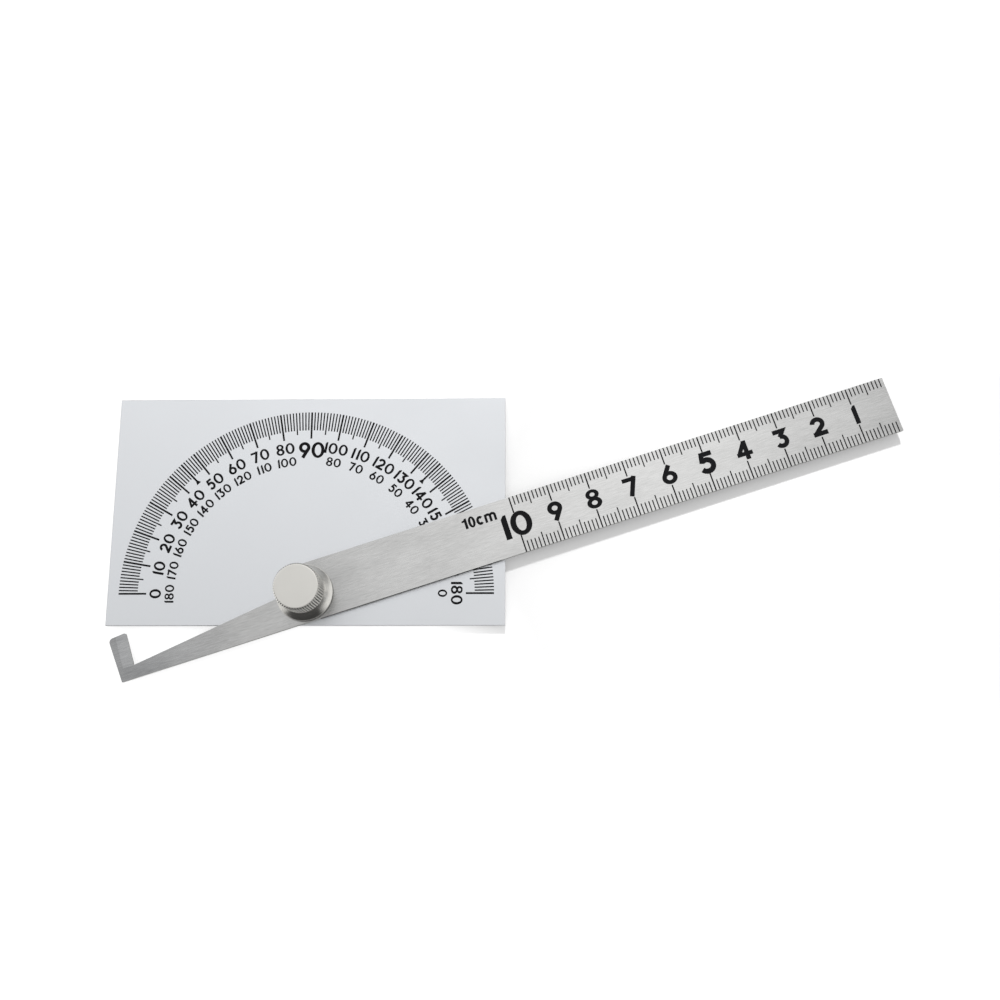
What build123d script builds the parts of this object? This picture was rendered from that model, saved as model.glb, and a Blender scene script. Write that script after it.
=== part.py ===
from build123d import *
import math
import os

# Protractor: a degree plate with a rule arm that swings on a stud and is clamped by a knurled knob.
# Millimetres. Z is up, out of the graduated face. The origin is on the pivot axis,
# in the rear face of the stud's head. +X runs along the plate's base edge and +Y points to 90 degrees.

# Degree plate
plate_length = 99.6
plate_depth = 58.6
plate_thickness = 1.0
base_edge_to_pivot = 8.0
edge_break = 0.12

# Degree scale, etched in the plate around the pivot
scale_radius = 47.0
scale_span = 180
degree_pitch = 1
fine_degree_line = 4.8
five_degree_line = 5.9
ten_degree_line = 7.0
degree_line_width = 0.34
ten_degree_line_width = 0.48
miter_angles = (45, 135)
miter_mark_length = 1.5
miter_mark_width = 1.3
etch_depth = 0.05

# Rule arm: the blade, the slimmer tail behind the pivot and the hook at its end
arm_width = 14.6
arm_thickness = 1.0
arm_reach = 155.6
arm_rest_angle = 17.97
tail_length = 49.6
tail_width_at_pivot = 9.0
tail_width_at_hook = 3.2
hook_width = 4.45
hook_height = 11.6
hook_end_fall = 0.45
hook_outer_slope = 0.75
hook_outer_corner_radius = 1.1
hook_inner_corner_radius = 0.5
hook_bevel_width = 2.65
hook_edge_thickness = 0.7
hook_line_height = 7.95
hook_line_width = 0.3

# Millimetre rule, etched along both edges of the blade from its free end.
# The lines at the edge towards 90 degrees are a little shorter than those at the other edge.
rule_length = 100
rule_pitch = 1.0
rule_line_width = 0.3
centimetre_line_width = 0.36
upper_millimetre_line = 2.3
upper_five_millimetre_line = 3.2
upper_centimetre_line = 4.2
lower_millimetre_line = 2.7
lower_five_millimetre_line = 3.7
lower_centimetre_line = 4.8

# Pivot stud, riveted into the plate from behind
head_radius = 5.0
head_thickness = 1.2
head_rim_chamfer = 0.4
shoulder_radius = 3.0
shoulder_step = 0.1
thread_radius = 2.5
thread_chamfer = 0.5
running_clearance = 0.05

# Washer under the knob
washer_radius = 6.4
washer_thickness = 0.5

# Clamp knob: a flared foot, a knurled grip and a flat top with a blind threaded hole below
knob_height = 11.0
knob_top_wall = 2.0
stud_end_gap = 0.6
foot_radius = 7.1
foot_lip = 0.5
flare_waist_height = 2.0
flare_waist_widening = 0.55
grip_radius = 5.68
grip_height = 5.2
grip_chamfer = 0.33
knurl_count = 56
knurl_depth = 0.3
knurl_cutter_overrun = 0.2
neck_relief = 0.05

# Heights of the stack
plate_bottom = head_thickness
plate_top = plate_bottom + plate_thickness
arm_bottom = plate_top
arm_top = arm_bottom + arm_thickness
washer_top = arm_top + washer_thickness
knob_top = washer_top + knob_height
bore_end = knob_top - knob_top_wall
stud_end = bore_end - stud_end_gap


def whole_steps(span, pitch):
    """Number of whole steps of one pitch in a span."""
    return int(round(span / pitch, 6))


def etched_line(length, width, surface, x, y, angle):
    """Cutter for one line that starts at (x, y), runs along angle and is sunk into the surface."""
    cutter = Box(length, width, 2 * etch_depth, align=(Align.MIN, Align.CENTER, Align.CENTER))
    return Pos(x, y, surface) * Rot(0, 0, angle) * cutter


def degree_line_size(degree):
    """Length and width of a line, longer at each fifth degree, and bolder too at each tenth."""
    if degree % 10 == 0 or degree in miter_angles:
        return ten_degree_line, ten_degree_line_width
    if degree % 5 == 0:
        return five_degree_line, degree_line_width
    return fine_degree_line, degree_line_width


def degree_line(degree):
    """One radial line of the scale, drawn inwards from its outer radius."""
    direction = math.radians(180 - degree)
    x = scale_radius * math.cos(direction)
    y = scale_radius * math.sin(direction)
    length, width = degree_line_size(degree)
    inwards = -degree
    return etched_line(length, width, plate_top, x, y, inwards)


def miter_mark(degree):
    """Filled arrowhead at the inner end of a miter line, pointing outwards."""
    tip = scale_radius - ten_degree_line + miter_mark_length
    foot = scale_radius - ten_degree_line
    outline = Polyline((tip, 0), (foot, miter_mark_width / 2), (foot, -miter_mark_width / 2), close=True)
    cutter = extrude(make_face(outline), etch_depth, both=True)
    return Pos(0, 0, plate_top) * Rot(0, 0, 180 - degree) * cutter


def make_dial_plate():
    """Rectangular plate with the pivot hole, broken edges and the etched half-circle scale."""
    centre_y = plate_depth / 2 - base_edge_to_pivot
    blank = Pos(0, centre_y, plate_bottom) * Box(
        plate_length, plate_depth, plate_thickness, align=(Align.CENTER, Align.CENTER, Align.MIN)
    )
    rims = blank.edges().filter_by(Plane.XY)
    blank = chamfer(rims, edge_break)
    hole = Pos(0, 0, plate_bottom) * Cylinder(
        shoulder_radius, plate_thickness, align=(Align.CENTER, Align.CENTER, Align.MIN)
    )
    steps = whole_steps(scale_span, degree_pitch)
    lines = [degree_line(step * degree_pitch) for step in range(steps + 1)]
    marks = [miter_mark(degree) for degree in miter_angles]
    return blank - [hole] - lines - marks


def tail_edge(x):
    """Height of the tail's upper edge above the pivot line, in the arm's own frame."""
    inner_corner = -(tail_length - hook_width)
    share = x / inner_corner
    width = tail_width_at_pivot + (tail_width_at_hook - tail_width_at_pivot) * share
    return width - arm_width / 2


def arm_outline():
    """Flat outline of the arm, with +X from the pivot towards the free end."""
    lower_edge = -arm_width / 2
    inner_corner = -(tail_length - hook_width)
    hook_top = lower_edge + hook_height
    hook_outer_top = hook_top - hook_end_fall
    blade = Pos(arm_reach / 2, 0) * Rectangle(arm_reach, arm_width)
    eye = Circle(arm_width / 2)
    tail = make_face(
        Polyline(
            (0, lower_edge),
            (0, tail_edge(0)),
            (inner_corner, tail_edge(inner_corner)),
            (inner_corner, lower_edge),
            close=True,
        )
    )
    hook = make_face(
        Polyline(
            (inner_corner, lower_edge),
            (inner_corner, hook_top),
            (-tail_length, hook_outer_top),
            (-tail_length + hook_outer_slope, lower_edge),
            close=True,
        )
    )
    hook = fillet(hook.vertices().sort_by(Axis.X)[0], hook_outer_corner_radius)
    hook = fillet(hook.vertices().sort_by(Axis.Y)[-1], hook_inner_corner_radius)
    return blade + eye + tail + hook


def hook_bevel():
    """Wedge ground off the upper face of the hook, thinning it towards its inner edge."""
    inner_corner = -(tail_length - hook_width)
    lowest = tail_edge(inner_corner)
    height = hook_height - arm_width / 2 - lowest
    drop = arm_thickness - hook_edge_thickness
    section = Polyline(
        (inner_corner - hook_bevel_width, arm_top),
        (inner_corner, arm_top - drop),
        (inner_corner, arm_top + drop),
        (inner_corner - hook_bevel_width, arm_top + drop),
        close=True,
    )
    wedge = extrude(make_face(Plane.XZ * section), -height)
    return Pos(0, lowest, 0) * wedge


def hook_line():
    """Short line scribed across the hook's bevel."""
    inner_corner = -(tail_length - hook_width)
    drop = arm_thickness - hook_edge_thickness
    slope = math.degrees(math.atan2(drop, hook_bevel_width))
    length = math.hypot(drop, hook_bevel_width)
    cutter = Box(length, hook_line_width, 2 * etch_depth, align=(Align.MIN, Align.CENTER, Align.CENTER))
    place = Pos(inner_corner - hook_bevel_width, hook_line_height - arm_width / 2, arm_top)
    return place * Rot(0, slope, 0) * cutter


def rule_line_sizes(step):
    """Lengths of one line at the upper and the lower edge, and its width."""
    if step % 10 == 0:
        return upper_centimetre_line, lower_centimetre_line, centimetre_line_width
    if step % 5 == 0:
        return upper_five_millimetre_line, lower_five_millimetre_line, rule_line_width
    return upper_millimetre_line, lower_millimetre_line, rule_line_width


def rule_lines():
    """Lines of the millimetre rule, drawn inwards from both edges of the blade."""
    lines = []
    for step in range(1, whole_steps(rule_length, rule_pitch) + 1):
        x = arm_reach - step * rule_pitch
        upper_length, lower_length, width = rule_line_sizes(step)
        lines.append(etched_line(upper_length, width, arm_top, x, arm_width / 2, -90))
        lines.append(etched_line(lower_length, width, arm_top, x, -arm_width / 2, 90))
    return lines


def make_rule_arm():
    """Flat arm on top of the plate, turned to its angle at rest."""
    blank = Pos(0, 0, arm_bottom) * extrude(arm_outline(), arm_thickness)
    eye_bore = Pos(0, 0, arm_bottom) * Cylinder(
        shoulder_radius + running_clearance, arm_thickness, align=(Align.CENTER, Align.CENTER, Align.MIN)
    )
    arm = blank - eye_bore - hook_bevel() - hook_line() - rule_lines()
    return Rot(0, 0, arm_rest_angle) * arm


def turned(points):
    """Solid turned about the pivot axis from a half section given as radius and height."""
    section = make_face(Plane.XZ * Polyline(*points, close=True))
    return revolve(section, Axis.Z)


def make_pivot_stud():
    """Riveted stud with a low round head, the arm's shoulder and a thinner threaded end."""
    shoulder_top = arm_top - shoulder_step
    return turned(
        [
            (0, 0),
            (head_radius - head_rim_chamfer, 0),
            (head_radius, head_rim_chamfer),
            (head_radius, head_thickness),
            (shoulder_radius, head_thickness),
            (shoulder_radius, shoulder_top),
            (thread_radius, shoulder_top),
            (thread_radius, stud_end - thread_chamfer),
            (thread_radius - thread_chamfer, stud_end),
            (0, stud_end),
        ]
    )


def make_washer():
    """Plain washer between the arm and the knob."""
    inner_radius = thread_radius + running_clearance
    return turned(
        [
            (inner_radius, arm_top),
            (washer_radius, arm_top),
            (washer_radius, washer_top),
            (inner_radius, washer_top),
        ]
    )


def knurl_groove():
    """V-shaped groove cutter along the grip, at the outer radius on +X."""
    mouth = grip_radius + knurl_cutter_overrun
    half_width = knurl_depth + knurl_cutter_overrun
    groove = Polyline(
        (grip_radius - knurl_depth, 0),
        (mouth, half_width),
        (mouth, -half_width),
        close=True,
    )
    grip_bottom = knob_top - grip_height
    return Pos(0, 0, grip_bottom) * extrude(make_face(groove), grip_height)


def make_clamp_knob():
    """Knob with a trumpet-shaped foot below the knurled grip."""
    bore_radius = thread_radius + running_clearance
    neck_radius = grip_radius - knurl_depth - neck_relief
    grip_bottom = knob_top - grip_height
    lip_top = washer_top + foot_lip
    flare = ThreePointArc(
        (foot_radius, lip_top),
        (neck_radius + flare_waist_widening, lip_top + flare_waist_height),
        (neck_radius, grip_bottom),
    )
    rest = Polyline(
        (neck_radius, grip_bottom),
        (grip_radius, grip_bottom),
        (grip_radius, knob_top - grip_chamfer),
        (grip_radius - grip_chamfer, knob_top),
        (0, knob_top),
        (0, bore_end),
        (bore_radius, bore_end),
        (bore_radius, washer_top),
        (foot_radius, washer_top),
        (foot_radius, lip_top),
    )
    body = revolve(make_face(Plane.XZ * (flare + rest)), Axis.Z)
    grooves = [Rot(0, 0, turn * 360 / knurl_count) * knurl_groove() for turn in range(knurl_count)]
    return body - grooves


def main():
    """Builds each piece and writes it to its own file."""
    pieces = {
        "dial_plate": make_dial_plate(),
        "rule_arm": make_rule_arm(),
        "pivot_stud": make_pivot_stud(),
        "clamp_washer": make_washer(),
        "clamp_knob": make_clamp_knob(),
    }
    os.makedirs("parts", exist_ok=True)
    for name, shape in pieces.items():
        export_step(shape, f"parts/{name}.step")


main()
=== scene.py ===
import math

import bpy
from mathutils import Matrix, Vector
from mathutils.geometry import delaunay_2d_cdt


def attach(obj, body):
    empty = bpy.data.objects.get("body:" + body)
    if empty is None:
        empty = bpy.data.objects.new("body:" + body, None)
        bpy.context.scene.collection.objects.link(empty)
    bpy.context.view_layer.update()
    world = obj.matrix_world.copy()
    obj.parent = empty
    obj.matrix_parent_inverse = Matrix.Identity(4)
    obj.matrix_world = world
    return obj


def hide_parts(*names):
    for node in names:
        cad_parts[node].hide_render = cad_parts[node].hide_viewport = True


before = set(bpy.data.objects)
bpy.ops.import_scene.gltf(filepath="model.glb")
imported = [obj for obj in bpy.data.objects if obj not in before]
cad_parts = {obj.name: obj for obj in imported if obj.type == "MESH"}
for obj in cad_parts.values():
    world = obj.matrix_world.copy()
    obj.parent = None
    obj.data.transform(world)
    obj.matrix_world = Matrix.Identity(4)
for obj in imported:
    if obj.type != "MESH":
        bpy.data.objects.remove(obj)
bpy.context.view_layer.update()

MM = 0.001

# Sizes of plate and arm in millimetres
PLATE_TOP = 2.2
ARM_TOP = 3.2
ARM_REACH = 155.6
ARM_HALF_WIDTH = 7.3
ARM_ANGLE = math.radians(17.97)
ETCH_DEPTH = 0.05


def add_object(name, data):
    """A new object in the scene."""
    made = bpy.data.objects.new(name, data)
    bpy.context.scene.collection.objects.link(made)
    return made


# Numbers

# Each is built in a box of its own width and unit height from strokes of one weight. The strokes
# are joined into one flat outline, which is given a thin body.
SHARPEST_MITRE = 0.45
THIN_STROKE = 0.9
PAIR_OF_ONES_GAP = 0.13
DEGREE_WIDTHS = {
    "0": 0.8, "2": 0.67, "3": 0.64, "4": 0.77, "5": 0.64, "6": 0.7, "7": 0.66, "8": 0.71, "9": 0.7,
}
RULE_WIDTHS = {
    "0": 0.86, "2": 0.76, "3": 0.72, "4": 0.84, "5": 0.77, "6": 0.79, "7": 0.77, "8": 0.77, "9": 0.77,
}
INLAY_RISE = 0.012
INLAY_THICKNESS = 0.02


def arc(centre, radii, start, end, count=18):
    """Points of an elliptical arc, with angles in degrees."""
    points = []
    for i in range(count + 1):
        a = math.radians(start + (end - start) * i / count)
        points.append((centre[0] + radii[0] * math.cos(a), centre[1] + radii[1] * math.sin(a)))
    return points


def stroke(points, half, start_cap=False, end_cap=False):
    """Quads along a line, mitred at its points, with square caps where they are asked for."""
    points = [Vector(p) for p in points]
    if start_cap:
        points[0] = points[0] + (points[0] - points[1]).normalized() * half
    if end_cap:
        points[-1] = points[-1] + (points[-1] - points[-2]).normalized() * half
    sides = []
    for i, p in enumerate(points):
        before = (p - points[i - 1]).normalized() if i else (points[1] - p).normalized()
        after = (points[i + 1] - p).normalized() if i + 1 < len(points) else before
        middle = (before + after).normalized()
        normal = Vector((-middle.y, middle.x))
        reach = half / max(SHARPEST_MITRE, normal.dot(Vector((-before.y, before.x))))
        sides.append((p + normal * reach, p - normal * reach))
    return [[a, b, d, c] for (a, b), (c, d) in zip(sides, sides[1:])]


def ring(centre, radii, side, top, count=40):
    """Quads of a closed oval that is side thick at its sides and top thick above and below."""
    quads = []
    outer = arc(centre, radii, 0, 360, count)
    inner = arc(centre, (radii[0] - side, radii[1] - top), 0, 360, count)
    for i in range(count):
        quads.append([Vector(outer[i]), Vector(outer[i + 1]), Vector(inner[i + 1]), Vector(inner[i])])
    return quads


def skeleton(width, weight):
    """Maps a unit square to the middle lines of strokes that fill the box."""
    return lambda x, y: (weight / 2 + x * (width - weight), weight / 2 + y * (1 - weight))


def number_shape(character, width, weight):
    """Quads of one character in a box of the given width and unit height."""
    half = weight / 2
    thin = half * THIN_STROKE
    at = skeleton(width, weight)
    span = width - weight
    rise = 1 - weight

    def bow(cx, cy, rx, ry, start, end):
        return arc(at(cx, cy), (rx * span, ry * rise), start, end)

    if character == "0":
        return ring((width / 2, 0.5), (width / 2, 0.5), weight, weight * 0.78)
    if character == "1":
        return [[Vector(p) for p in ((0, 0), (width, 0), (width, 1), (width * 0.5, 0.985), (0, 0.85))]]
    if character == "2":
        line = bow(0.47, 0.69, 0.5, 0.31, 172, -35) + [at(0, 0)]
        return stroke(line, half) + stroke([at(0, 0), at(1, 0)], half, True, True)
    if character == "3":
        top = stroke([at(0.04, 1), at(0.9, 1), at(0.4, 0.6)], half, True)
        return top + stroke(bow(0.47, 0.31, 0.53, 0.32, 100, -152), half)
    if character == "4":
        stem = stroke([at(0.68, 0), at(0.68, 1)], half, True, True)
        bar = stroke([at(0, 0.26), at(1, 0.26)], thin, True, True)
        return stem + bar + stroke([at(0.62, 1), at(0, 0.28)], thin)
    if character == "5":
        top = stroke([at(0.93, 1), at(0.26, 1), at(0.12, 0.5)], thin, True)
        return top + stroke(bow(0.47, 0.32, 0.53, 0.34, 128, -150), half)
    if character == "6":
        bowl = ring((width / 2, 0.34), (width / 2, 0.34), weight, weight * 0.88)
        return bowl + stroke([at(0.6, 1.0), at(0.03, 0.4)], half, True)
    if character == "7":
        bar = stroke([at(0, 1), at(0.93, 1)], thin, True, True)
        return bar + stroke([at(0.95, 1.02), at(0.36, 0)], half, True, True)
    if character == "8":
        upper = ring((width / 2, 0.735), (width * 0.45, 0.265), weight * 0.92, weight * 0.7)
        return upper + ring((width / 2, 0.295), (width / 2, 0.295), weight, weight * 0.76)
    if character == "9":
        six = number_shape("6", width, weight)
        return [[Vector((width - p.x, 1 - p.y)) for p in quad] for quad in six]
    raise ValueError(character)


def flat_union(quads):
    """Points and triangles of the area that the quads cover together."""
    points = []
    faces = []
    for quad in quads:
        faces.append(list(range(len(points), len(points) + len(quad))))
        points.extend(Vector((p[0], p[1])) for p in quad)
    points, _, triangles, _, _, covered_by = delaunay_2d_cdt(points, [], faces, 1, 1e-6)
    return points, [triangle for triangle, owners in zip(triangles, covered_by) if owners]


def inlay(name, placed_quads, surface, body, material):
    """A thin closed piece from flat outlines in millimetres, let into the given surface."""
    top = (surface + INLAY_RISE) * MM
    bottom = (surface + INLAY_RISE - INLAY_THICKNESS) * MM
    vertices = []
    faces = []
    for quads in placed_quads:
        points, triangles = flat_union(quads)
        start = len(vertices)
        count = len(points)
        vertices.extend((p.x * MM, p.y * MM, top) for p in points)
        vertices.extend((p.x * MM, p.y * MM, bottom) for p in points)
        rim = {}
        for a, b, c in triangles:
            area = (points[b] - points[a]).cross(points[c] - points[a])
            if area < 0:
                b, c = c, b
            faces.append((start + a, start + b, start + c))
            faces.append((start + count + a, start + count + c, start + count + b))
            for p, q in ((a, b), (b, c), (c, a)):
                if (q, p) in rim:
                    del rim[(q, p)]
                else:
                    rim[(p, q)] = True
        for p, q in rim:
            faces.append((start + p, start + count + p, start + count + q, start + q))
    mesh = bpy.data.meshes.new(name)
    mesh.from_pydata(vertices, [], faces)
    mesh.validate()
    piece = add_object(name, mesh)
    piece.data.materials.append(material)
    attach(piece, body)


def text_quads(text, height, widths, weight, gap):
    """One list of quads per character, in millimetres, centred on the origin."""
    x = 0
    groups = []
    for i, character in enumerate(text):
        width = weight if character == "1" else widths[character]
        quads = number_shape(character, width, weight)
        groups.append([[Vector((x + p[0], p[1] - 0.5)) * height for p in quad] for quad in quads])
        x += width + gap
        if text[i:i + 2] == "11":
            x += PAIR_OF_ONES_GAP
    middle = (x - gap) * height / 2
    return [[[p - Vector((middle, 0)) for p in quad] for quad in quads] for quads in groups]


def moved(groups, place):
    """The same quads with each point sent through place."""
    return [[[place(p) for p in quad] for quad in quads] for quads in groups]


def degree_text(degree, text, radius, height, weight, gap, shift=0.0):
    """A number on the degree scale, upright when seen from the pivot."""
    a = math.radians(180 - degree)
    outward = Vector((math.cos(a), math.sin(a)))
    across = Vector((math.sin(a), -math.cos(a)))
    groups = text_quads(text, height, DEGREE_WIDTHS, weight, gap)
    return moved(groups, lambda p: across * (p.x + shift) + outward * (radius + p.y))


def rule_point(from_tip, from_upper_edge):
    """Point on the arm, from its distance to the free end and to its upper edge."""
    along = ARM_REACH - from_tip
    across = ARM_HALF_WIDTH - from_upper_edge
    cos = math.cos(ARM_ANGLE)
    sin = math.sin(ARM_ANGLE)
    return Vector((along * cos - across * sin, along * sin + across * cos))


def rule_text(text, from_tip, from_upper_edge, height, weight, gap):
    """A number on the arm, centred at that place."""
    groups = text_quads(text, height, RULE_WIDTHS, weight, gap)
    return moved(groups, lambda p: rule_point(from_tip - p.x, from_upper_edge - p.y))


def upright(left, right, bottom, top):
    """An upright quad between two sides and two heights."""
    return [Vector(p) for p in ((left, bottom), (right, bottom), (right, top), (left, top))]


def unit_mark():
    """The small mark beside the ten, drawn on a unit height in plain heavy strokes."""
    height = 2.75
    left = 113.2
    base = 4.5
    half = 0.115
    first_stem = 2.22
    pitch = 0.435
    shoulder = 0.62
    flag = ((0.22, 0), (0.47, 0), (0.47, 1), (0.3, 1), (0.2, 0.87), (0.0, 0.82), (0.0, 0.66), (0.22, 0.68))
    one = [[Vector(p) for p in flag]]
    nought = ring((0.9, 0.5), (0.33, 0.53), 0.24, 0.18)
    c = stroke(arc((1.67, 0.4), (0.23, 0.31), 42, 318), 0.12)
    m = []
    for i in range(3):
        x = first_stem + i * pitch
        m.append(upright(x - half, x + half, 0, shoulder))
    m.append(upright(first_stem - 0.1, first_stem + 0.1, 0.5, 0.78))
    for i in range(2):
        centre = (first_stem + (i + 0.5) * pitch, 0.53)
        m.extend(stroke(arc(centre, (pitch / 2, 0.18), 0, 180), half))
    shapes = [one, nought, c, m]
    return moved(shapes, lambda p: rule_point(left - p.x * height, base - p.y * height))


# Materials

# Most of a noise lies between these two values
NOISE_LOW = 0.3
NOISE_HIGH = 0.7


class Graph:
    """Short form for building a node tree."""

    def __init__(self, tree):
        self.tree = tree
        tree.nodes.clear()

    def put(self, socket, value):
        """Links a socket, or sets its constant value."""
        if isinstance(value, bpy.types.NodeSocket):
            self.tree.links.new(value, socket)
        elif socket.type == "RGBA" and len(value) == 3:
            socket.default_value = (*value, 1.0)
        else:
            socket.default_value = value

    def add(self, kind, inputs=None, **settings):
        """A new node with these settings and inputs."""
        made = self.tree.nodes.new(kind)
        for name, value in settings.items():
            setattr(made, name, value)
        for key, value in (inputs or {}).items():
            self.put(made.inputs[key], value)
        return made

    def math(self, operation, a, b=0.0):
        return self.add("ShaderNodeMath", {0: a, 1: b}, operation=operation).outputs[0]

    def plus(self, a, b):
        return self.math("ADD", a, b)

    def minus(self, a, b):
        return self.math("SUBTRACT", a, b)

    def times(self, a, b):
        return self.math("MULTIPLY", a, b)

    def between(self, share, a, b):
        """The number a where the share is zero, b where it is one."""
        return self.plus(self.times(self.minus(1.0, share), a), self.times(share, b))

    def blend(self, share, a, b):
        """The colour a where the share is zero, b where it is one."""
        made = self.add("ShaderNodeMix", data_type="RGBA")
        self.put(made.inputs[0], share)
        self.put(made.inputs[6], a)
        self.put(made.inputs[7], b)
        return made.outputs[2]

    def noise(self, vector, scale, detail=3.0, roughness=0.5):
        inputs = {"Vector": vector, "Scale": scale, "Detail": detail, "Roughness": roughness}
        return self.add("ShaderNodeTexNoise", inputs).outputs["Fac"]

    def ramp(self, value, low, high, to_low=0.0, to_high=1.0, **settings):
        inputs = {"Value": value, "From Min": low, "From Max": high, "To Min": to_low, "To Max": to_high}
        return self.add("ShaderNodeMapRange", inputs, **settings).outputs["Result"]

    def vary(self, noise, low, high):
        """Spreads the middle of a noise over the given range."""
        return self.ramp(noise, NOISE_LOW, NOISE_HIGH, low, high)

    def bump(self, height, strength, distance):
        inputs = {"Height": height, "Strength": strength, "Distance": distance}
        return self.add("ShaderNodeBump", inputs).outputs["Normal"]

    def parts(self, vector):
        return self.add("ShaderNodeSeparateXYZ", {0: vector}).outputs

    def vector(self, x, y, z):
        return self.add("ShaderNodeCombineXYZ", {0: x, 1: y, 2: z}).outputs[0]

    def mapped(self, vector, rotation=(0, 0, 0), scale=(1, 1, 1)):
        inputs = {"Vector": vector, "Rotation": rotation, "Scale": scale}
        return self.add("ShaderNodeMapping", inputs).outputs[0]

    def length(self, vector):
        return self.add("ShaderNodeVectorMath", {0: vector}, operation="LENGTH").outputs["Value"]

    def flat_length(self, x, y):
        return self.math("SQRT", self.plus(self.times(x, x), self.times(y, y)))

    def to_world(self, vector):
        """A direction in the piece's own frame, turned into the world's."""
        settings = {"vector_type": "VECTOR", "convert_from": "OBJECT", "convert_to": "WORLD"}
        return self.add("ShaderNodeVectorTransform", {0: vector}, **settings).outputs[0]


def new_material(name):
    """An empty material and the graph that fills it."""
    material = bpy.data.materials.new(name)
    material.use_nodes = True
    return material, Graph(material.node_tree)


def finish_material(g, inputs):
    """The material's surface, from the inputs of one shader."""
    shader = g.add("ShaderNodeBsdfPrincipled", inputs)
    g.add("ShaderNodeOutputMaterial", {"Surface": shader.outputs[0]})


def object_place(g):
    """Place on the piece in its own frame, in metres."""
    return g.add("ShaderNodeTexCoord").outputs["Object"]


def upward(g):
    """The upward part of the face's own normal."""
    return g.parts(g.add("ShaderNodeNewGeometry").outputs["True Normal"])["Z"]


# The upward part of a normal is above the first on level faces, and below the second on walls
LEVEL_ABOVE = 0.995
WALL_BELOW = 0.9


def etched_mask(g, place, surface):
    """One on the floors of the etched lines below a flat surface, zero elsewhere."""
    z = g.parts(place)["Z"]
    below = g.math("LESS_THAN", z, (surface - ETCH_DEPTH / 2) * MM)
    above = g.math("GREATER_THAN", z, (surface - 2 * ETCH_DEPTH) * MM)
    level = g.math("GREATER_THAN", upward(g), LEVEL_ABOVE)
    return g.times(g.times(below, above), level)


def wall_mask(g):
    """One on the walls and broken edges of a sheet, zero on its faces."""
    return g.math("LESS_THAN", g.math("ABSOLUTE", upward(g)), WALL_BELOW)


BLACK = (0.006, 0.006, 0.007)
BLACK_ROUGHNESS = 0.6
BLACK_SPECULAR = 0.12

PLATE_DARK = (0.777, 0.796, 0.822)
PLATE_LIGHT = (0.816, 0.833, 0.857)
# Painted light: the plate's walls and broken edges are painted a pale matt colour instead of mirroring
# like its faces
PLATE_WALL_PAINTED_LIGHT = (0.8, 0.81, 0.83)
PLATE_CLOUDS = 45.0
PLATE_GRAIN = 5200.0
PLATE_ROUGHNESS = (0.40, 0.46)
PLATE_GRAIN_ROUGHNESS = 0.03
PLATE_BUMP = (0.12, 0.00002)


def satin_plate():
    """Satin chrome with black floors in its etched lines."""
    material, g = new_material("satin_plate")
    place = object_place(g)
    mask = etched_mask(g, place, PLATE_TOP)
    edge = wall_mask(g)
    cloud = g.noise(place, PLATE_CLOUDS)
    grain = g.noise(place, PLATE_GRAIN, detail=2.0)
    tone = g.blend(cloud, PLATE_DARK, PLATE_LIGHT)
    uneven = g.vary(grain, -PLATE_GRAIN_ROUGHNESS, PLATE_GRAIN_ROUGHNESS)
    rough = g.plus(g.vary(cloud, *PLATE_ROUGHNESS), uneven)
    finish_material(g, {
        # The walls take the painted light colour and are not metallic
        "Base Color": g.blend(mask, g.blend(edge, tone, PLATE_WALL_PAINTED_LIGHT), BLACK),
        "Metallic": g.minus(1.0, g.math("MAXIMUM", mask, edge)),
        "Roughness": g.math("MAXIMUM", rough, g.times(mask, BLACK_ROUGHNESS)),
        "Specular IOR Level": BLACK_SPECULAR,
        "Normal": g.bump(grain, *PLATE_BUMP),
    })
    return material


ARM_DARK = (0.47, 0.47, 0.465)
ARM_LIGHT = (0.695, 0.695, 0.69)
ARM_STREAKS = (330.0, 3100.0, 1.0)
ARM_CLOUD_STRETCH = (1.0, 3.0, 1.0)
ARM_CLOUDS = 60.0
ARM_STREAK_SHARE = 0.6
ARM_ROUGHNESS = (0.23, 0.27)
ARM_CLOUD_ROUGHNESS = 0.02
ARM_ANISOTROPY = 0.7
ARM_BUMP = (0.05, 0.00001)

# Painted shade: the tail is painted darker towards the hook, and the blade is painted darker beside
# the knob where the knob's shadow falls. Distances from the pivot are in millimetres.
HOOK_SHADE_DARK = (0.3, 0.305, 0.31)
HOOK_SHADE_LIGHT = (0.5, 0.505, 0.51)
HOOK_SHADE_FROM = 18.0
HOOK_SHADE_TO = 42.0
# Painted shadow of the knob on the blade beside it
KNOB_SHADOW_TONE = (0.3, 0.3, 0.295)
KNOB_SHADOW_FROM = 7.5
KNOB_SHADOW_TO = 16.0
KNOB_SHADOW_SHARE = 0.3
KNOB_SHADOW_AHEAD = 4.0

# Painted light and shade on the arm's walls: pale at the hook, black over the plate for the gap's shade
WALL = (0.42, 0.42, 0.41)
WALL_HOOK_PAINTED_LIGHT = (0.7, 0.7, 0.69)
WALL_HOOK_FROM = 18.0
WALL_HOOK_TO = 38.0
WALL_GAP_SHADE = (0.02, 0.02, 0.02)
WALL_GAP_SHADE_FROM = 2.0
WALL_GAP_SHADE_TO = 49.0
WALL_ROUGHNESS = 0.5


def arm_wall_tone(g, distance):
    """Colour of the arm's walls by the distance ahead of the pivot, with painted light and shade."""
    # Painted light: the walls turn pale towards the hook
    plain = g.ramp(distance, -WALL_HOOK_TO * MM, -WALL_HOOK_FROM * MM)
    # Painted shade: the walls are black over the plate, for the shade in the gap under the arm
    ahead = g.math("GREATER_THAN", distance, WALL_GAP_SHADE_FROM * MM)
    behind = g.math("LESS_THAN", distance, WALL_GAP_SHADE_TO * MM)
    return g.blend(g.times(ahead, behind), g.blend(plain, WALL_HOOK_PAINTED_LIGHT, WALL), WALL_GAP_SHADE)


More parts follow.
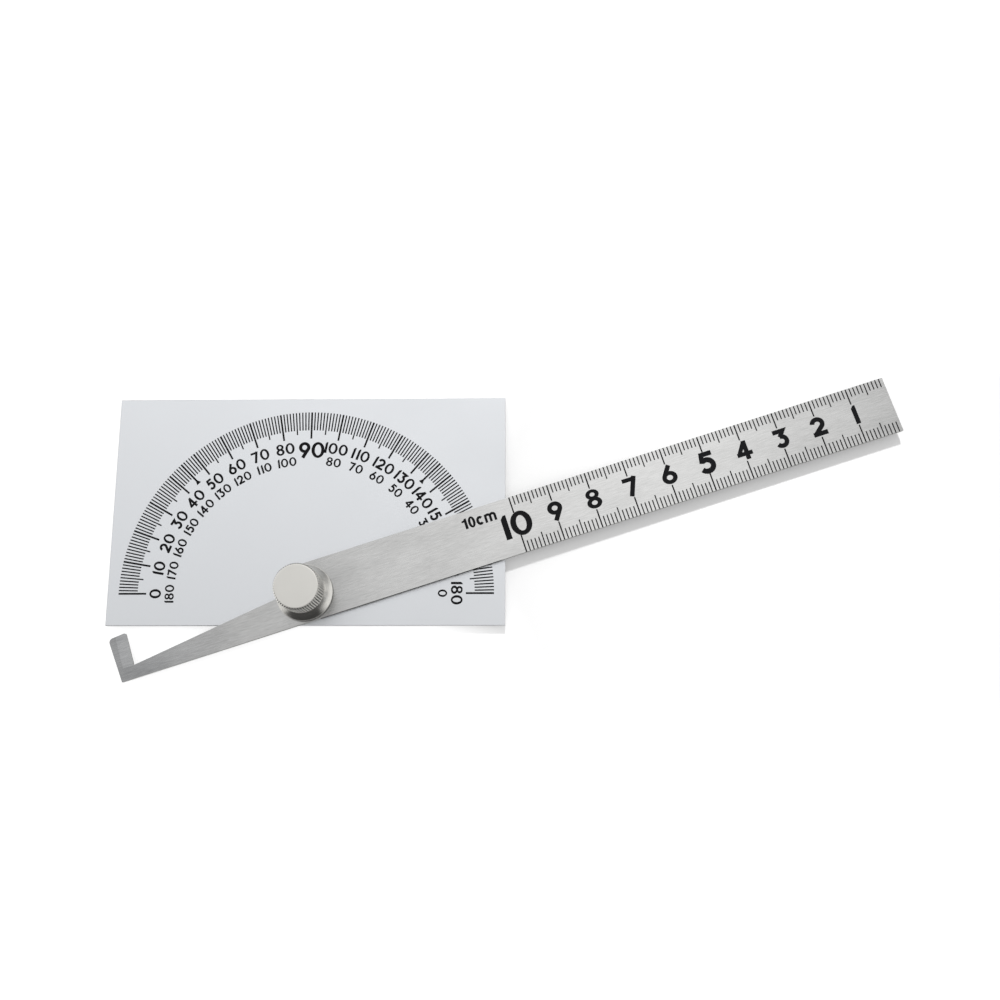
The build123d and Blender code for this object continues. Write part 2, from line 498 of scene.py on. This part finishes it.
def brushed_arm():
    """Steel brushed lengthwise, with black floors in its etched lines."""
    material, g = new_material("brushed_arm")
    place = object_place(g)
    mask = etched_mask(g, place, ARM_TOP)
    edge = wall_mask(g)
    along = g.mapped(place, rotation=(0, 0, -ARM_ANGLE))
    distance = g.parts(along)["X"]
    streaks = g.noise(g.mapped(along, scale=ARM_STREAKS), 1.0, roughness=0.7)
    cloud = g.noise(g.mapped(along, scale=ARM_CLOUD_STRETCH), ARM_CLOUDS)
    streak_part = g.times(g.vary(streaks, 0.0, 1.0), ARM_STREAK_SHARE)
    mix = g.plus(streak_part, g.times(g.vary(cloud, 0.0, 1.0), 1.0 - ARM_STREAK_SHARE))
    # Painted shade: the tail's colour darkens towards the hook
    hook_shade = g.ramp(distance, -HOOK_SHADE_FROM * MM, -HOOK_SHADE_TO * MM)
    tone = g.blend(hook_shade, g.blend(mix, ARM_DARK, ARM_LIGHT), g.blend(mix, HOOK_SHADE_DARK, HOOK_SHADE_LIGHT))
    # Painted shadow: the blade darkens beside the knob, on the side ahead of the pivot
    near = g.ramp(g.length(place), KNOB_SHADOW_FROM * MM, KNOB_SHADOW_TO * MM, KNOB_SHADOW_SHARE, 0.0)
    knob_shadow = g.times(near, g.ramp(distance, -KNOB_SHADOW_AHEAD * MM, KNOB_SHADOW_AHEAD * MM))
    tone = g.blend(edge, g.blend(knob_shadow, tone, KNOB_SHADOW_TONE), arm_wall_tone(g, distance))
    uneven = g.vary(cloud, -ARM_CLOUD_ROUGHNESS, ARM_CLOUD_ROUGHNESS)
    rough = g.plus(g.vary(streaks, *ARM_ROUGHNESS), uneven)
    rough = g.math("MAXIMUM", rough, g.times(edge, WALL_ROUGHNESS))
    finish_material(g, {
        "Base Color": g.blend(mask, tone, BLACK),
        "Metallic": g.minus(1.0, g.math("MAXIMUM", mask, edge)),
        "Roughness": g.math("MAXIMUM", rough, g.times(mask, BLACK_ROUGHNESS)),
        "Specular IOR Level": BLACK_SPECULAR,
        "Anisotropic": ARM_ANISOTROPY,
        "Tangent": g.to_world((-math.sin(ARM_ANGLE), math.cos(ARM_ANGLE), 0.0)),
        "Normal": g.bump(streaks, *ARM_BUMP),
    })
    return material


MARKING_DARK = (0.004, 0.004, 0.005)
MARKING_LIGHT = (0.009, 0.009, 0.010)
MARKING_CLOUDS = 2500.0
MARKING_ROUGHNESS = (0.5, 0.62)


def black_marking():
    """Black filling of the numbers."""
    material, g = new_material("black_marking")
    cloud = g.noise(object_place(g), MARKING_CLOUDS)
    finish_material(g, {
        "Base Color": g.blend(cloud, MARKING_DARK, MARKING_LIGHT),
        "Roughness": g.vary(cloud, *MARKING_ROUGHNESS),
        "Specular IOR Level": BLACK_SPECULAR,
    })
    return material


TURNED_RINGS = 2600.0
TURNED_CLOUDS = 400.0
TURNED_UNEVEN = 0.03
TURNED_ANISOTROPY = 0.35
TURNED_BUMP = (0.08, 0.00001)


class Turning:
    """What all lathe-turned metal has: fine rings about the pivot axis, and their direction."""

    def __init__(self, g):
        place = object_place(g)
        x, y, self.z = g.parts(place)
        self.radius = g.flat_length(x, y)
        self.lines = g.noise(g.vector(self.radius, 0.0, self.z), TURNED_RINGS, roughness=0.6)
        cloud = g.noise(place, TURNED_CLOUDS)
        self.mix = g.plus(g.times(self.lines, 0.5), g.times(cloud, 0.5))
        self.uneven = g.vary(self.lines, -TURNED_UNEVEN, TURNED_UNEVEN)
        outward = g.to_world(g.vector(x, y, 0.0))
        unit = g.add("ShaderNodeVectorMath", {0: outward}, operation="NORMALIZE")
        self.tangent = unit.outputs[0]


def turned_metal(name, dark, light, roughness):
    """Plain lathe-turned metal."""
    material, g = new_material(name)
    turning = Turning(g)
    finish_material(g, {
        "Base Color": g.blend(turning.mix, dark, light),
        "Metallic": 1.0,
        "Roughness": g.plus(roughness, turning.uneven),
        "Anisotropic": TURNED_ANISOTROPY,
        "Tangent": turning.tangent,
        "Normal": g.bump(turning.lines, *TURNED_BUMP),
    })
    return material


WASHER_DARK = (0.62, 0.605, 0.57)
WASHER_LIGHT = (0.69, 0.67, 0.635)
WASHER_ROUGHNESS = 0.3
STUD_DARK = (0.55, 0.55, 0.545)
STUD_LIGHT = (0.63, 0.63, 0.62)
STUD_ROUGHNESS = 0.32


def nickel_washer():
    """Turned nickel for the washer."""
    return turned_metal("nickel_washer", WASHER_DARK, WASHER_LIGHT, WASHER_ROUGHNESS)


def turned_steel():
    """Turned steel for the stud."""
    return turned_metal("turned_steel", STUD_DARK, STUD_LIGHT, STUD_ROUGHNESS)


# The knob's half section in millimetres. It is near that of the solid, but has rounded rims, and
# extra rings beside its edges keep the smooth shading from spreading.
WASHER_TOP = 3.7
KNOB_TOP = 14.7
FOOT_RADIUS = 7.1
LIP_TOP = 4.25
LIP_STEP = 0.1
LIP_ROUND = 0.12
LIP_ROUND_STEPS = 4
LIP_EDGE_INSETS = (0.0, 0.05)
LIP_EDGE_DROPS = (0.06, 0.005)
WAIST = (6.17, 5.17)
FLARE_STEPS = 20
NECK_RADIUS = 5.42
NECK_BOTTOM = 6.15
NECK_RING = 0.1
GRIP_BOTTOM = 8.0
GRIP_RADIUS = 5.68
GRIP_EDGE = 0.12
GRIP_CHAMFER = 0.36
CHAMFER_DROP = 0.29
GRIP_TOP = KNOB_TOP - CHAMFER_DROP
CAP_RADIUS = GRIP_RADIUS - GRIP_CHAMFER
CAP_EDGE_INSET = 0.06
CAP_EDGE_DROP = 0.02
CAP_RING = 0.2
KNURL_COUNT = 56
KNURL_DEPTH = 0.3
TOOTH = (1.0, 0.35, 0.0, 0.0, 0.0, 0.35)
AROUND = KNURL_COUNT * len(TOOTH)
BORE_RADIUS = 2.55
BORE_END = 12.7
SHARP_ANGLE = math.radians(24)

# The grip is more matt and rougher than the rest, and its lighter colour is a painted highlight on the
# knurl. The valleys of the knurl carry painted shade, whose depths are measured from the grip's radius.
KNOB_DARK = (0.69, 0.677, 0.642)
KNOB_LIGHT = (0.745, 0.733, 0.698)
KNOB_ROUGHNESS = 0.22
KNOB_ANISOTROPY = 0.12
KNOB_BUMP = (0.06, 0.00001)
# Painted highlight: the grip is painted near white so its teeth look bright
GRIP_HIGHLIGHT = (0.96, 0.945, 0.9)
GRIP_ROUGHER = 0.25
GRIP_MATT = 0.6
GRIP_MARGIN = 0.01
# Painted shade in the valleys of the knurl
KNURL_SHADE = (0.02, 0.019, 0.016)
KNURL_SHADE_FULL = 0.2
KNURL_SHADE_NONE = 0.02


def turned_knob():
    """Turned nickel for the knob, with a more matt grip, a painted highlight on the grip and painted shade
    in the valleys of its knurl.
    """
    material, g = new_material("nickel_knob")
    turning = Turning(g)
    above = g.math("GREATER_THAN", turning.z, (GRIP_BOTTOM - GRIP_MARGIN) * MM)
    below = g.math("LESS_THAN", turning.z, (GRIP_TOP - GRIP_MARGIN) * MM)
    grip = g.times(above, below)
    # Painted shade: darker the deeper a point lies in the knurl
    deep = (GRIP_RADIUS - KNURL_SHADE_FULL) * MM
    shallow = (GRIP_RADIUS - KNURL_SHADE_NONE) * MM
    knurl_shade = g.times(grip, g.ramp(turning.radius, deep, shallow, 1.0, 0.0))
    # The grip takes the painted highlight colour
    tone = g.blend(grip, g.blend(turning.mix, KNOB_DARK, KNOB_LIGHT), GRIP_HIGHLIGHT)
    finish_material(g, {
        "Base Color": g.blend(knurl_shade, tone, KNURL_SHADE),
        "Metallic": g.minus(1.0, g.times(grip, GRIP_MATT)),
        "Roughness": g.plus(g.plus(KNOB_ROUGHNESS, g.times(grip, GRIP_ROUGHER)), turning.uneven),
        "Anisotropic": KNOB_ANISOTROPY,
        "Tangent": turning.tangent,
        "Normal": g.bump(turning.lines, *KNOB_BUMP),
    })
    return material


def through(a, b, c, count):
    """Points of the circular arc from a over b to c."""
    ax, ay = a
    bx, by = b
    cx, cy = c
    d = 2 * (ax * (by - cy) + bx * (cy - ay) + cx * (ay - by))
    aa = ax * ax + ay * ay
    bb = bx * bx + by * by
    cc = cx * cx + cy * cy
    ux = (aa * (by - cy) + bb * (cy - ay) + cc * (ay - by)) / d
    uy = (aa * (cx - bx) + bb * (ax - cx) + cc * (bx - ax)) / d
    radius = math.hypot(ax - ux, ay - uy)
    start = math.atan2(ay - uy, ax - ux)
    end = math.atan2(cy - uy, cx - ux)
    turn = (end - start + math.pi) % (2 * math.pi) - math.pi
    angles = [start + turn * i / count for i in range(count + 1)]
    return [(ux + radius * math.cos(angle), uy + radius * math.sin(angle)) for angle in angles]


def knob_section():
    """Points (radius, height, share of the knurl's depth) from the bore's end round to the cap."""
    section = [(BORE_RADIUS, BORE_END, 0), (BORE_RADIUS, WASHER_TOP, 0)]
    section.append((FOOT_RADIUS - LIP_ROUND, WASHER_TOP, 0))
    for i in range(LIP_ROUND_STEPS + 1):
        a = math.radians(90 * i / LIP_ROUND_STEPS - 90)
        r = FOOT_RADIUS - LIP_ROUND + LIP_ROUND * math.cos(a)
        section.append((r, WASHER_TOP + LIP_ROUND + LIP_ROUND * math.sin(a), 0))
    for inset, drop in zip(LIP_EDGE_INSETS, LIP_EDGE_DROPS):
        section.append((FOOT_RADIUS - inset, LIP_TOP - drop, 0))
    lip = (FOOT_RADIUS - LIP_STEP, LIP_TOP)
    for r, z in through(lip, WAIST, (NECK_RADIUS, NECK_BOTTOM), FLARE_STEPS):
        section.append((r, z, 0))
    section += [(NECK_RADIUS, NECK_BOTTOM + NECK_RING, 0), (NECK_RADIUS, GRIP_BOTTOM, 0)]
    section += [(GRIP_RADIUS, GRIP_BOTTOM + GRIP_EDGE, 1), (GRIP_RADIUS, GRIP_TOP, 1)]
    section.append((CAP_RADIUS, KNOB_TOP - CAP_EDGE_DROP, 0))
    for inset in (CAP_EDGE_INSET, CAP_RING):
        section.append((CAP_RADIUS - inset, KNOB_TOP, 0))
    return section


def knob_piece():
    """The knob as one closed mesh of rings about the axis."""
    section = knob_section()
    vertices = []
    for r, z, cut in section:
        for i in range(AROUND):
            radius = r - cut * KNURL_DEPTH * TOOTH[i % len(TOOTH)]
            a = 2 * math.pi * i / AROUND
            vertices.append((radius * math.cos(a) * MM, radius * math.sin(a) * MM, z * MM))
    faces = []
    for k in range(len(section) - 1):
        for i in range(AROUND):
            lower = k * AROUND
            upper = lower + AROUND
            j = (i + 1) % AROUND
            faces.append((lower + i, lower + j, upper + j, upper + i))
    top = len(vertices)
    vertices.append((0, 0, KNOB_TOP * MM))
    last = (len(section) - 1) * AROUND
    faces += [(last + i, last + (i + 1) % AROUND, top) for i in range(AROUND)]
    roof = len(vertices)
    vertices.append((0, 0, BORE_END * MM))
    faces += [((i + 1) % AROUND, i, roof) for i in range(AROUND)]
    mesh = bpy.data.meshes.new("knob_turned")
    mesh.from_pydata(vertices, [], faces)
    mesh.shade_smooth()
    mesh.set_sharp_from_angle(angle=SHARP_ANGLE)
    piece = add_object("knob_turned", mesh)
    piece.data.materials.append(turned_knob())
    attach(piece, "knob")
    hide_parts("clamp_knob")


def dress(node, material):
    """Gives a piece of the CAD its material."""
    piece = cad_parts[node]
    piece.data.materials.clear()
    piece.data.materials.append(material)


dress("dial_plate", satin_plate())
dress("rule_arm", brushed_arm())
knob_piece()
dress("clamp_washer", nickel_washer())
dress("pivot_stud", turned_steel())

marking = black_marking()

# Radii, heights, lines and shifts in millimetres. Weights and gaps are shares of a number's height.
DEGREE_STEP = 10
DEGREE_WEIGHT = 0.205
DEGREE_GAP = 0.11
OUTER_RADIUS = 37.75
OUTER_HEIGHT = 2.93
INNER_RADIUS = 34.2
INNER_HEIGHT = 2.34
NINETY_RADIUS = 36.97
NINETY_HEIGHT = 4.2
NINETY_GAP = 0.07
NINETY_SHIFT = 0.22
UNDER_ARM = 170
UNDER_ARM_SHIFT = -0.5
RULE_LINE = 7.02
RULE_HEIGHT = 4.98
RULE_WEIGHT = 0.238
RULE_SHIFT = 0.12
FIVE_HEIGHT = 5.75
TEN_LINE = 7.18
TEN_HEIGHT = 6.35
TEN_WEIGHT = 0.235
TEN_GAP = 0.08


def degree_numbers():
    """Both rows of the degree scale. The big 90 stands for both, and the arm at rest covers the 170."""
    outer = []
    inner = []
    style = (DEGREE_WEIGHT, DEGREE_GAP)
    for degree in range(0, 180 + DEGREE_STEP, DEGREE_STEP):
        if degree == 90:
            style_of_ninety = (DEGREE_WEIGHT, NINETY_GAP, NINETY_SHIFT)
            outer += degree_text(90, "90", NINETY_RADIUS, NINETY_HEIGHT, *style_of_ninety)
            continue
        shift = UNDER_ARM_SHIFT if degree == UNDER_ARM else 0.0
        outer += degree_text(degree, str(degree), OUTER_RADIUS, OUTER_HEIGHT, *style, shift)
        inner += degree_text(degree, str(180 - degree), INNER_RADIUS, INNER_HEIGHT, *style)
    return outer, inner


def rule_numbers():
    """The centimetres on the arm. The five and the ten are bigger."""
    groups = []
    for centimetre in range(1, 10):
        height = FIVE_HEIGHT if centimetre == 5 else RULE_HEIGHT
        from_tip = 10 * centimetre - RULE_SHIFT
        groups += rule_text(str(centimetre), from_tip, RULE_LINE, height, RULE_WEIGHT, 0.0)
    return groups + rule_text("10", 100, TEN_LINE, TEN_HEIGHT, TEN_WEIGHT, TEN_GAP)


outer_numbers, inner_numbers = degree_numbers()
inlay("degree_numbers_outer", outer_numbers, PLATE_TOP, "head", marking)
inlay("degree_numbers_inner", inner_numbers, PLATE_TOP, "head", marking)
inlay("rule_numbers", rule_numbers(), ARM_TOP, "arm", marking)
inlay("unit_mark", unit_mark(), ARM_TOP, "arm", marking)


# Floor, light and camera

# The floor's size and the key's sizes are in metres, places and radii on the floor in millimetres
FLOOR_HALF = 3.0
FLOOR_COLOUR = (0.8, 0.8, 0.8)
FLOOR_MIRRORED = (0.1, 0.1, 0.1)
GLOW_UNDER_KEY = 0.22
GLOW_ELSEWHERE = 0.72
GLOW_FROM = 68.0
GLOW_TO = 90.0

KEY_CENTRE = (118.0, 20.0)
KEY_ENERGY = 166.0
KEY_REACH = 2.0
KEY_SPOT_RADIUS = 0.105
KEY_BLEND = 0.45
KEY_SOFTNESS = 0.10
KEY_ELEVATION = math.radians(48)


def floor_white():
    """A pale floor that glows for the camera, less so where the key light falls."""
    material, g = new_material("floor_white")
    rays = g.add("ShaderNodeLightPath").outputs
    place = g.parts(object_place(g))
    away_x = g.minus(place["X"], KEY_CENTRE[0] * MM)
    away_y = g.minus(place["Y"], KEY_CENTRE[1] * MM)
    distance = g.length(g.vector(away_x, away_y, 0.0))
    glow = g.ramp(distance, GLOW_FROM * MM, GLOW_TO * MM, GLOW_UNDER_KEY, GLOW_ELSEWHERE)
    colour = g.blend(rays["Is Glossy Ray"], FLOOR_COLOUR, FLOOR_MIRRORED)
    lit = g.add("ShaderNodeBsdfDiffuse", {"Color": colour}).outputs[0]
    strength = g.times(rays["Is Camera Ray"], glow)
    shine = g.add("ShaderNodeEmission", {"Color": (1, 1, 1), "Strength": strength}).outputs[0]
    both = g.add("ShaderNodeAddShader", {0: lit, 1: shine}).outputs[0]
    g.add("ShaderNodeOutputMaterial", {"Surface": both})
    return material


def make_floor():
    """The square that the object lies on."""
    corners = [(-1, -1), (1, -1), (1, 1), (-1, 1)]
    mesh = bpy.data.meshes.new("floor")
    mesh.from_pydata([(x * FLOOR_HALF, y * FLOOR_HALF, 0) for x, y in corners], [], [(0, 1, 2, 3)])
    floor = add_object("floor", mesh)
    floor.data.materials.append(floor_white())


# Brightness of the studio as the metal mirrors it. High up it is even, with one soft hump, a rise
# towards the back, a fall towards the right and a least value. Low down stand walls, and the front
# one is dark. Places, widths and spans are parts of a direction of unit length.
EVEN = 0.33
LEAST = 0.45
HUMP = 0.72
HUMP_PLACE = (0.08, 0.3)
HUMP_WIDTH = 0.18
BACK_RISE = 0.97
BACK_RISE_SPAN = (-0.3, 0.6)
RIGHT_FALL = 0.44
RIGHT_FALL_SPAN = (0.16, 0.36)
HIGH_SPAN = (0.35, 0.6)
RIGHT_WALL = 1.05
LEFT_WALL = 1.3
FRONT_WALL = 0.045
BACK_WALL = 0.4
SIDE_SPAN = (0.6, 0.92)
MIDDLE_SPAN = (-0.1, 0.1)
AMBIENT = 0.56


def high_studio(g, direction):
    """Brightness of the upper part of the studio in a direction."""

    def hump(axis, middle):
        share = g.math("DIVIDE", g.minus(direction[axis], middle), HUMP_WIDTH)
        return g.math("EXPONENT", g.times(g.times(share, share), -1.0))

    peak = g.times(hump("X", HUMP_PLACE[0]), hump("Y", HUMP_PLACE[1]))
    light = g.plus(EVEN, g.times(peak, HUMP))
    light = g.plus(light, g.ramp(direction["Y"], *BACK_RISE_SPAN, 0.0, BACK_RISE))
    light = g.minus(light, g.ramp(direction["X"], *RIGHT_FALL_SPAN, 0.0, RIGHT_FALL))
    return g.math("MAXIMUM", light, LEAST)


def low_studio(g, direction):
    """Brightness of the walls of the studio in a direction."""
    flat = g.flat_length(direction["X"], direction["Y"])
    sideways = g.math("ABSOLUTE", g.math("DIVIDE", direction["X"], flat))
    side = g.ramp(direction["X"], *MIDDLE_SPAN, LEFT_WALL, RIGHT_WALL)
    end = g.ramp(direction["Y"], *MIDDLE_SPAN, FRONT_WALL, BACK_WALL)
    return g.between(g.ramp(sideways, *SIDE_SPAN), end, side)


def make_world():
    """White for the camera, the studio for what the metal mirrors, and an even light otherwise."""
    world = bpy.data.worlds.new("studio")
    bpy.context.scene.world = world
    world.use_nodes = True
    g = Graph(world.node_tree)
    rays = g.add("ShaderNodeLightPath").outputs
    direction = g.parts(g.add("ShaderNodeTexCoord").outputs["Generated"])
    high_share = g.ramp(direction["Z"], *HIGH_SPAN, interpolation_type="SMOOTHSTEP")
    studio = g.between(high_share, low_studio(g, direction), high_studio(g, direction))
    unseen = g.between(rays["Is Glossy Ray"], AMBIENT, studio)
    strength = g.between(rays["Is Camera Ray"], unseen, 1.0)
    background = g.add("ShaderNodeBackground", {"Color": (1, 1, 1), "Strength": strength})
    g.add("ShaderNodeOutputWorld", {"Surface": background.outputs[0]})


def make_key():
    """Key light from behind on the floor below the blade, which gives the strip of shadow there."""
    light = bpy.data.lights.new("key", "SPOT")
    light.energy = KEY_ENERGY
    light.shadow_soft_size = KEY_SOFTNESS
    light.spot_size = 2 * math.atan(KEY_SPOT_RADIUS / KEY_REACH)
    light.spot_blend = KEY_BLEND
    key = add_object("key", light)
    away = Vector((0.0, math.cos(KEY_ELEVATION), math.sin(KEY_ELEVATION)))
    key.location = Vector((*KEY_CENTRE, 0)) * MM + away * KEY_REACH
    key.rotation_euler = away.to_track_quat("Z", "Y").to_euler()
    key.visible_glossy = False


# Sensor, lens and the camera's place in millimetres, its clip range in metres
SENSOR_WIDTH = 36.0
LENS = 43.2
CLIP = (0.01, 50.0)
CAMERA_PLACE = (56.975, -42.678, 297.462)
CAMERA_FORWARD = (-0.0282, 0.2191, -0.9753)
CAMERA_UP = (0.0042, 0.9757, 0.2191)


def make_camera():
    """The photograph's camera, as fitted to the lines of both scales."""
    data = bpy.data.cameras.new("camera")
    data.sensor_width = SENSOR_WIDTH
    data.lens = LENS
    data.clip_start, data.clip_end = CLIP
    camera = add_object("camera", data)
    forward = Vector(CAMERA_FORWARD).normalized()
    right = forward.cross(Vector(CAMERA_UP)).normalized()
    up = right.cross(forward)
    turn = Matrix((right, up, -forward)).transposed()
    camera.matrix_world = Matrix.Translation(Vector(CAMERA_PLACE) * MM) @ turn.to_4x4()
    bpy.context.scene.camera = camera


make_floor()
make_world()
make_key()
make_camera()
bpy.context.scene.view_settings.view_transform = "Standard"
